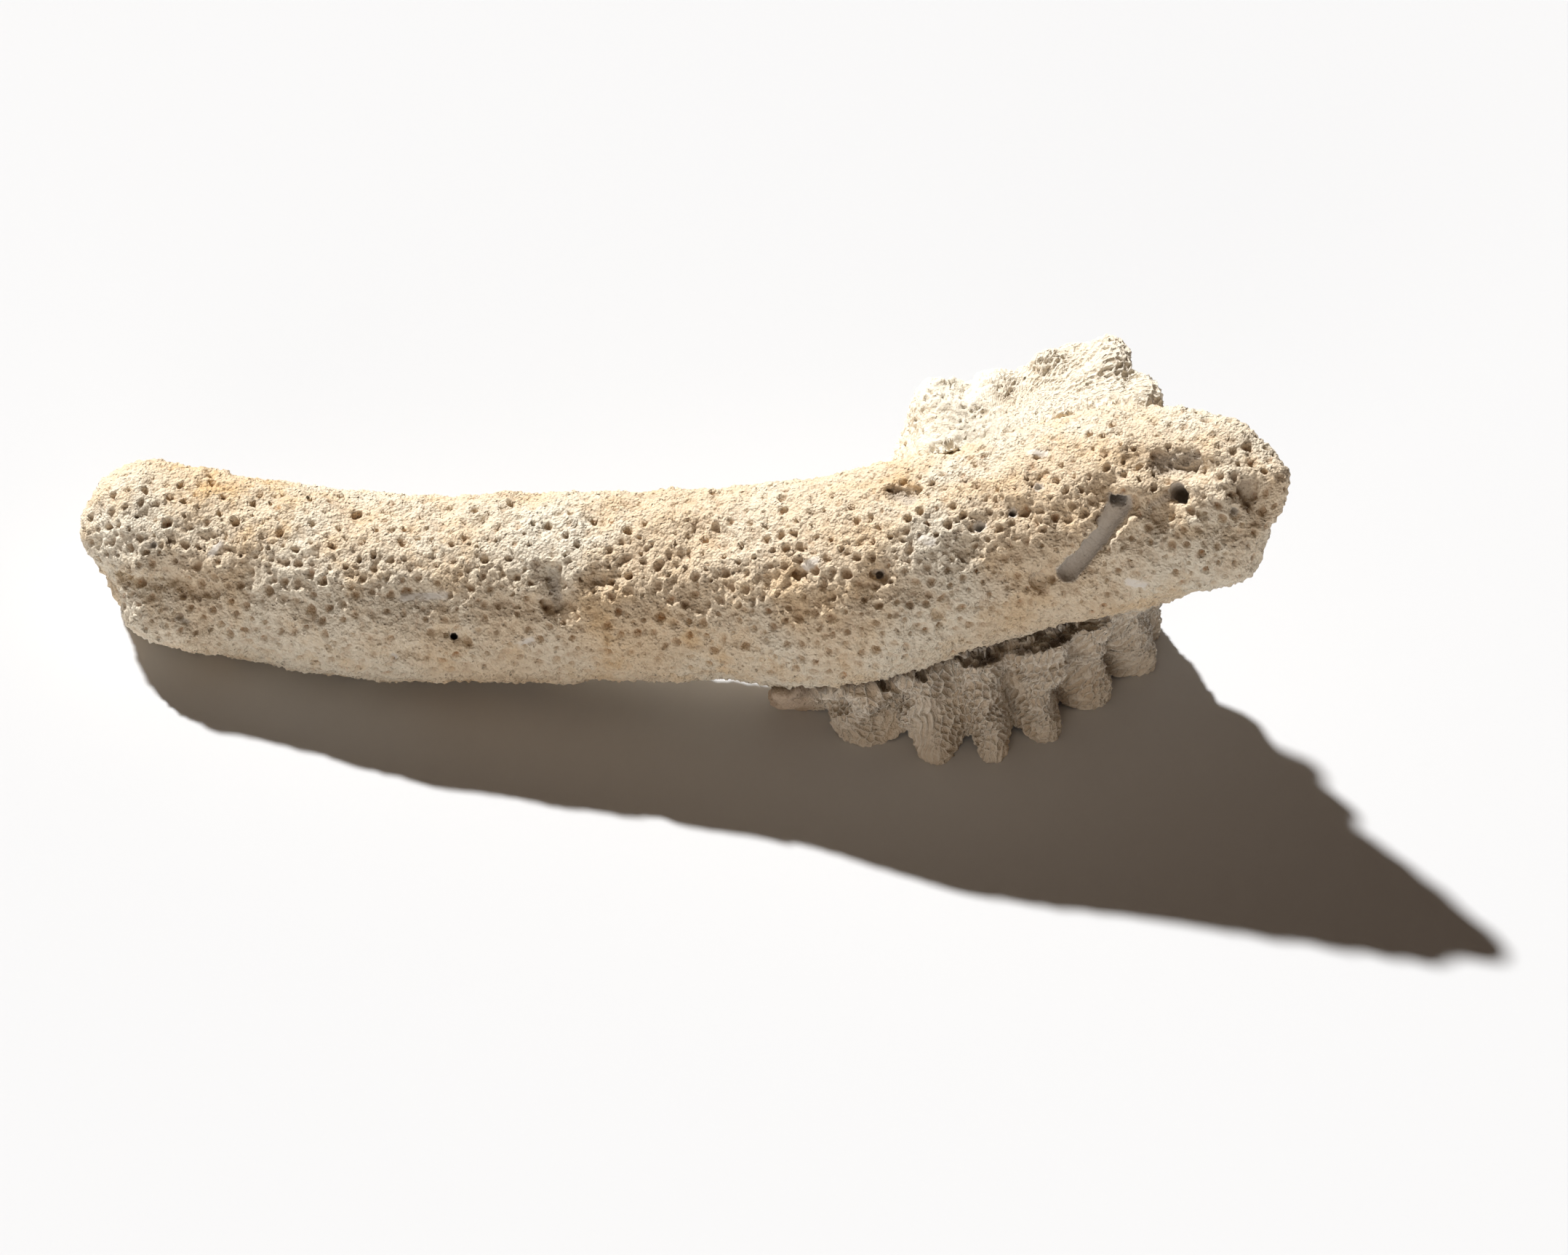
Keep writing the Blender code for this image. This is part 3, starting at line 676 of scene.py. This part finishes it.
# Rounds of smoothing that the ridges are measured against, and how much they are sharpened.
CREST_SPREAD = 150
CREST_GAIN = 0.55
PROUD_SPREAD = 60
PROUD_HEIGHT = 0.9 * MM
TURN_TO_GROWTH = 24.0
# The dark cell colour is painted shade for the valleys, the open cells and the pinholes. The rib colour is
# the ribs' own pale, laid on the crests partly as painted light.
COLLAR_BEIGE = (0.86, 0.76, 0.62, 1.0)
COLLAR_RIB = (0.95, 0.90, 0.81, 1.0)
COLLAR_CELL_SHADE = (0.44, 0.34, 0.25, 1.0)
COLLAR_OCHRE = (0.64, 0.45, 0.26, 1.0)
FLANGE_BROWN = (0.55, 0.42, 0.31, 1.0)
FAN_PALE = (0.96, 0.89, 0.75, 1.0)
# Painted shade for the crack and along the joint with the pillar.
CRACK_SHADE = (0.12, 0.085, 0.06, 1.0)


def lattice(tree, growth, place):
    """Ribs and cross walls as one, and the cells between them as nothing, in either kind of tree."""
    warp = put(tree, "ShaderNodeTexNoise", {"Vector": place, "Scale": 190.0, "Detail": 2.0})
    shift = vector(tree, "SUBTRACT", warp.outputs["Color"], (0.5, 0.5, 0.5))
    wavy = vector(tree, "ADD", growth, vector(tree, "SCALE", shift, 3.6))
    squeezed = vector(tree, "MULTIPLY", wavy, (0.92, 0.70, 0.0))
    cells = put(tree, "ShaderNodeTexVoronoi", {"Vector": squeezed, "Scale": 1.0, "Randomness": 0.72},
                voronoi_dimensions="2D", feature="DISTANCE_TO_EDGE").outputs["Distance"]
    walls = ramp(tree, cells, 0.17, 0.03)
    split = put(tree, "ShaderNodeSeparateXYZ", {0: wavy}).outputs[0]
    wave = number(tree, "SINE", number(tree, "MULTIPLY", split, 2.0 * math.pi / 0.95))
    ribs = ramp(tree, wave, -0.4, 1.0, 0.25, 0.95)
    kind = put(tree, "ShaderNodeTexNoise", {"Vector": place, "Scale": 85.0, "Detail": 1.0}).outputs[0]
    ribbed = ramp(tree, kind, 0.59, 0.66)
    return number(tree, "MULTIPLY_ADD", ribbed, number(tree, "SUBTRACT", ribs, walls), walls)


def septa_tree():
    """Raises the ribs and cross walls of the collar and sinks the cells between them."""
    tree = bpy.data.node_groups.new("septa", "GeometryNodeTree")
    face = tree.interface
    face.new_socket("Geometry", in_out="INPUT", socket_type="NodeSocketGeometry")
    for title in ("Wall Height", "Cell Depth", "Grain Height"):
        face.new_socket(title, in_out="INPUT", socket_type="NodeSocketFloat")
    face.new_socket("Material", in_out="INPUT", socket_type="NodeSocketMaterial")
    face.new_socket("Geometry", in_out="OUTPUT", socket_type="NodeSocketGeometry")
    given = tree.nodes.new("NodeGroupInput").outputs
    place = tree.nodes.new("GeometryNodeInputPosition").outputs[0]
    growth = put(tree, "GeometryNodeInputNamedAttribute", {"Name": "growth"},
                 data_type="FLOAT_VECTOR").outputs[0]
    worn = put(tree, "GeometryNodeInputNamedAttribute", {"Name": "worn"}, data_type="FLOAT").outputs[0]
    walls = lattice(tree, growth, place)
    up = number(tree, "MULTIPLY", walls, given["Wall Height"])
    down = number(tree, "MULTIPLY", number(tree, "SUBTRACT", 1.0, walls), given["Cell Depth"])
    grain = put(tree, "ShaderNodeTexNoise", {"Vector": place, "Scale": 1300.0, "Detail": 3.0}).outputs[0]
    grain_height = number(tree, "MULTIPLY", number(tree, "SUBTRACT", grain, 0.5), given["Grain Height"])
    crisp = number(tree, "MULTIPLY_ADD", worn, -0.75, 1.0)
    height = number(tree, "ADD", number(tree, "MULTIPLY", number(tree, "SUBTRACT", up, down), crisp),
                    grain_height)
    normal = tree.nodes.new("GeometryNodeInputNormal").outputs[0]
    moved = put(tree, "GeometryNodeSetPosition",
                {"Geometry": given["Geometry"], "Offset": vector(tree, "SCALE", normal, height)}).outputs[0]
    real = put(tree, "GeometryNodeRealizeInstances", {"Geometry": moved}).outputs[0]
    painted = put(tree, "GeometryNodeSetMaterial",
                  {"Geometry": real, "Material": given["Material"]}).outputs[0]
    put(tree, "NodeGroupOutput", {"Geometry": painted})
    return tree


def collar_material():
    material = bpy.data.materials.new("ridged collar skeleton")
    material.use_nodes = True
    tree = material.node_tree
    shader = tree.nodes["Principled BSDF"]
    place = tree.nodes.new("ShaderNodeTexCoord").outputs["Object"]
    growth = put(tree, "ShaderNodeAttribute", attribute_name="growth").outputs["Vector"]
    worn = vertex_number(tree, "worn")
    grain = put(tree, "ShaderNodeGroup", node_tree=grain_group)
    tree.links.new(place, grain.inputs["Place"])
    grain.inputs["Grain Size"].default_value = 0.38 * MM
    grain.inputs["Stain Size"].default_value = 6.0 * MM
    proud = vertex_number(tree, "proud")
    walls = lattice(tree, growth, place)
    crisp = number(tree, "MULTIPLY_ADD", worn, -0.8, 1.0)
    cell_shade = number(tree, "MULTIPLY", number(tree, "SUBTRACT", 1.0, walls), crisp)

    colour = mixed(tree, number(tree, "MULTIPLY", grain.outputs["Stain"], 0.35), COLLAR_BEIGE, COLLAR_OCHRE)
    # Painted shade in the valleys. The crests take the pale rib colour, partly as wear and partly as painted
    # light.
    colour = mixed(tree, number(tree, "MULTIPLY", ramp(tree, proud, 0.0, -0.9), 0.45), colour, COLLAR_CELL_SHADE)
    colour = mixed(tree, number(tree, "MULTIPLY", ramp(tree, proud, 0.1, 1.0), 0.60), colour, COLLAR_RIB)
    # Painted shade in the open cells between the walls, and the walls' own pale rib colour.
    colour = mixed(tree, number(tree, "MULTIPLY", cell_shade, 0.34), colour, COLLAR_CELL_SHADE)
    crisp_wall = number(tree, "MULTIPLY", walls, crisp)
    colour = mixed(tree, number(tree, "MULTIPLY", crisp_wall, 0.50), colour, COLLAR_RIB)
    # Painted shade in the pinholes.
    colour = mixed(tree, number(tree, "MULTIPLY", grain.outputs["Pinholes"], 0.25), colour, COLLAR_CELL_SHADE)
    colour = mixed(tree, vertex_number(tree, "flange"), colour, FLANGE_BROWN)
    pale = pillar_colour(tree, grain, vertex_number(tree, "pore"), vertex_number(tree, "relief"))
    fan = vertex_number(tree, "fan")
    # Painted light: the fan's pale cream is paler still on its crests.
    pale = mixed(tree, ramp(tree, proud, -0.6, 0.6, 0.45, 0.85), pale, FAN_PALE)
    colour = mixed(tree, fan, colour, pale)
    # Painted shade in the crack and along the collar's joint with the pillar.
    colour = mixed(tree, vertex_number(tree, "crack_shade"), colour, CRACK_SHADE)
    tree.links.new(colour, shader.inputs["Base Color"])
    tree.links.new(ramp(tree, grain.outputs["Cloud"], 0.0, 1.0, 0.84, 0.96), shader.inputs["Roughness"])
    shader.inputs["Specular IOR Level"].default_value = 0.25
    grain_height = number(tree, "MULTIPLY", grain.outputs["Height"], 0.8)
    height = number(tree, "MULTIPLY_ADD", walls, crisp, grain_height)
    softer = number(tree, "MULTIPLY_ADD", fan, -0.4, 0.9)
    bump = put(tree, "ShaderNodeBump", {"Height": height, "Strength": softer, "Distance": 0.22 * MM})
    tree.links.new(bump.outputs[0], shader.inputs["Normal"])
    return material


def smoothed_places(mesh, rounds):
    """Where the vertices lie when the shape's small ridges are smoothed away."""
    copy = new_object("smoothed", mesh.copy())
    smooth = copy.modifiers.new("smoothed", "SMOOTH")
    smooth.factor = 0.8
    smooth.iterations = rounds
    return vertex_places(settled(copy, "smoothed"))


def make_collar():
    skin = even_skin(merged_copy("ridged_collar"), COLLAR_COARSE_EDGE, COLLAR_ROUNDING)
    tree = bvh_of(skin)
    places = vertex_places(skin)
    for start, end, half_width, height in KNOBS.values():
        first, outward = seen_spot(tree, start)
        last, _ = seen_spot(tree, end)
        places = pushed(places, first, last, outward, half_width * MM, height * MM, KNOB_SLOPE)
    gaps = list(zip(CRACK_LINE, CRACK_LINE[1:]))
    for (start, half_width, depth), (end, _, _) in gaps:
        first, outward = seen_spot(tree, start)
        last, _ = seen_spot(tree, end)
        inward = (sight_line(start) - outward).normalized()
        places = pushed(places, first, last, inward, half_width * MM, depth * MM, CRACK_SLOPE)
    set_vertex_places(skin, places)
    skin = even_skin(skin, COLLAR_FINE_EDGE, COLLAR_FINE_ROUNDING)

    places = vertex_places(skin)
    ridges = places - smoothed_places(skin, CREST_SPREAD)
    below_fan = 1.0 - soft_step((places[:, 2] - FAN_FROM) / (FAN_FULL - FAN_FROM))
    places = places + CREST_GAIN * below_fan[:, None] * ridges
    set_vertex_places(skin, places)
    from_middle = places - np.array(COLLAR_MIDDLE)
    turn = np.arctan2(from_middle[:, 1], from_middle[:, 0])
    turn = np.mod(turn + math.pi, 2.0 * math.pi)
    away = np.hypot(from_middle[:, 0], from_middle[:, 1])
    growth = np.stack([turn * TURN_TO_GROWTH, (places[:, 2] - away) / MM, np.zeros(len(places))], axis=1)
    attribute = skin.attributes.new("growth", "FLOAT_VECTOR", "POINT")
    attribute.data.foreach_set("vector", growth.astype(np.float32).ravel())

    normals = np.empty(len(places) * 3, np.float32)
    skin.vertices.foreach_get("normal", normals)
    # How far each place stands out of or sinks into its smoothed surroundings. The material paints shade in
    # the valleys and light on the crests from it.
    lifted = places - smoothed_places(skin, PROUD_SPREAD)
    proud = (lifted * normals.reshape(-1, 3)).sum(axis=1) / PROUD_HEIGHT
    set_numbers(skin, "proud", np.clip(proud, -1.0, 1.0))
    porous = 1.0 - soft_step((places[:, 0] - FAN_PORES_TO) / (FAN_PORES_END - FAN_PORES_TO))
    fan = soft_step((places[:, 2] + FAN_DIPS * porous - FAN_FROM) / (FAN_FULL - FAN_FROM))

    # Painted shade: the crack's line and the collar's front next to the pillar are marked to be painted dark.
    gap_marks = [(start, end, half_width, 1.0) for (start, half_width, _), (end, _, _) in gaps]
    crack_shade = marked(places, tree, gap_marks, 1.9, 0.9)
    for index in np.flatnonzero(places[:, 1] < CRACK_BEHIND):
        _, _, _, distance = pillar_tree.find_nearest(Vector(places[index]), CRACK_SHADE_REACH)
        if distance is not None:
            crack_shade[index] = max(crack_shade[index], soft_step(1.6 * (1.0 - distance / CRACK_SHADE_REACH)))
    gaping = 1.0 - soft_step((places[:, 0] - CRACK_RIGHT) / CRACK_FADE)
    set_numbers(skin, "crack_shade", 0.9 * crack_shade * (1.0 - fan) * (0.35 + 0.65 * gaping))

    tips = soft_step((8.0 * MM - places[:, 2]) / (6.0 * MM)) * np.clip(0.3 + 1.2 * proud, 0.0, 1.0)
    crests = 0.6 * np.clip(proud - 0.35, 0.0, 1.0)
    left = soft_step((FLANGE_TO - places[:, 0]) / (3.0 * MM))
    flange = left * soft_step((-2.0 * MM - places[:, 1]) / (4.0 * MM))
    fan_worn = fan * (0.6 + 0.35 * porous)
    set_numbers(skin, "fan", fan * (0.6 + 0.4 * porous))
    set_numbers(skin, "flange", 0.8 * flange)
    set_numbers(skin, "worn", np.maximum.reduce([tips, crests, 0.95 * flange, fan_worn]))
    skin = run_tree(skin, septa_tree(),
                    {"Wall Height": 0.20 * MM, "Cell Depth": 0.42 * MM, "Grain Height": 0.3 * MM,
                     "Material": collar_material()}, "septa")
    set_numbers(skin, "scar", 1.0 - fan * (0.45 + 0.55 * porous))
    skin = run_tree(skin, corallite_tree(),
                    {"Spacing": 2.3 * MM, "Pit Radius": 0.60 * MM, "Pit Depth": 0.6 * MM,
                     "Rim Height": 0.15 * MM, "Wobble": 0.75 * MM, "Pore Depth": 0.18 * MM,
                     "Crumb Height": 1.0 * MM, "Granule Height": 0.35 * MM, "Seed": 5,
                     "Material": skin.materials[0]}, "fan corallites")

    places = vertex_places(skin)
    crack_start, _ = seen_spot(pillar_tree, CRACK_PX[0])
    crack_end, _ = seen_spot(pillar_tree, CRACK_PX[1])
    crack_far = soft_step(away_from_segment(places, crack_start, crack_end) / CRACK_REACH)
    for index, place in enumerate(places):
        near, outward, _, distance = pillar_tree.find_nearest(Vector(place), WELD_REACH)
        if near is None:
            continue
        pull = crack_far[index] * (1.0 - distance / WELD_REACH)
        goal = near - outward * WELD_DEPTH
        places[index] = place + (np.array(goal) - place) * min(1.0, 1.6 * pull)
    places[:, 2] = np.maximum(places[:, 2], 0.0)
    set_vertex_places(skin, places)
    skin = thinned(skin, COLLAR_TRIANGLES)
    skin.shade_smooth()
    collar = new_object("collar", skin)
    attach(collar, "root")
    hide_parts("ridged_collar")


make_collar()


# The table. A plain matt white sheet in a dim warm room, under one lamp high at the back left, so far off
# that it lights the whole sheet evenly. A broad card low in front sends a glow back to the shaded side.
FLOOR_SIZE = 6.0
FLOOR_WHITE = (0.72, 0.738, 0.765, 1.0)
FLOOR_FIBRE = (0.62, 0.62, 0.62, 1.0)
LAMP_DIRECTION = Vector((-0.585, 0.80, 1.0))
LAMP_STRENGTH = 5.5
LAMP_WIDTH = math.radians(2.8)
LAMP_COLOUR = (1.0, 0.985, 0.96)
CARD_DIRECTION = Vector((-0.25, -1.0, 0.10))
CARD_STRENGTH = 0.86
CARD_WIDTH = math.radians(40.0)
CARD_COLOUR = (1.0, 0.90, 0.79)
WALL_LIGHT = (0.27, 0.19, 0.13, 1.0)
CEILING_LIGHT = (0.042, 0.025, 0.015, 1.0)
WALL_TOP = 0.45


def floor_material():
    material = bpy.data.materials.new("matt white sheet")
    material.use_nodes = True
    tree = material.node_tree
    shader = tree.nodes["Principled BSDF"]
    place = tree.nodes.new("ShaderNodeTexCoord").outputs["Object"]
    fibre = put(tree, "ShaderNodeTexNoise", {"Vector": place, "Scale": 1400.0, "Detail": 3.0}).outputs[0]
    tree.links.new(mixed(tree, number(tree, "MULTIPLY", fibre, 0.06), FLOOR_WHITE, FLOOR_FIBRE),
                   shader.inputs["Base Color"])
    shader.inputs["Roughness"].default_value = 0.9
    shader.inputs["Specular IOR Level"].default_value = 0.1
    bump = put(tree, "ShaderNodeBump", {"Height": fibre, "Strength": 0.08, "Distance": 0.05 * MM})
    tree.links.new(bump.outputs[0], shader.inputs["Normal"])
    return material


floor_mesh = bmesh.new()
bmesh.ops.create_grid(floor_mesh, x_segments=2, y_segments=2, size=FLOOR_SIZE / 2)
floor_data = bpy.data.meshes.new("table")
floor_mesh.to_mesh(floor_data)
floor_mesh.free()
floor_data.materials.append(floor_material())
table = new_object("table", floor_data)


def far_light(name, direction, strength, width, colour):
    """A light so far off that it reaches the whole table from one direction."""
    data = bpy.data.lights.new(name, "SUN")
    data.angle = width
    data.energy = strength
    data.color = colour
    light = new_object(name, data)
    light.location = direction
    light.rotation_euler = (-direction).to_track_quat("-Z", "Y").to_euler()


far_light("back lamp", LAMP_DIRECTION, LAMP_STRENGTH, LAMP_WIDTH, LAMP_COLOUR)
far_light("front card", CARD_DIRECTION, CARD_STRENGTH, CARD_WIDTH, CARD_COLOUR)

room = bpy.data.worlds.new("warm room")
room.use_nodes = True
room_tree = room.node_tree
room_way = room_tree.nodes.new("ShaderNodeTexCoord").outputs["Generated"]
room_rise = put(room_tree, "ShaderNodeSeparateXYZ", {0: room_way}).outputs[2]
room_tree.links.new(mixed(room_tree, ramp(room_tree, room_rise, 0.05, WALL_TOP), WALL_LIGHT, CEILING_LIGHT),
                    room_tree.nodes["Background"].inputs["Color"])
bpy.context.scene.world = room
bpy.context.scene.view_settings.view_transform = "Standard"
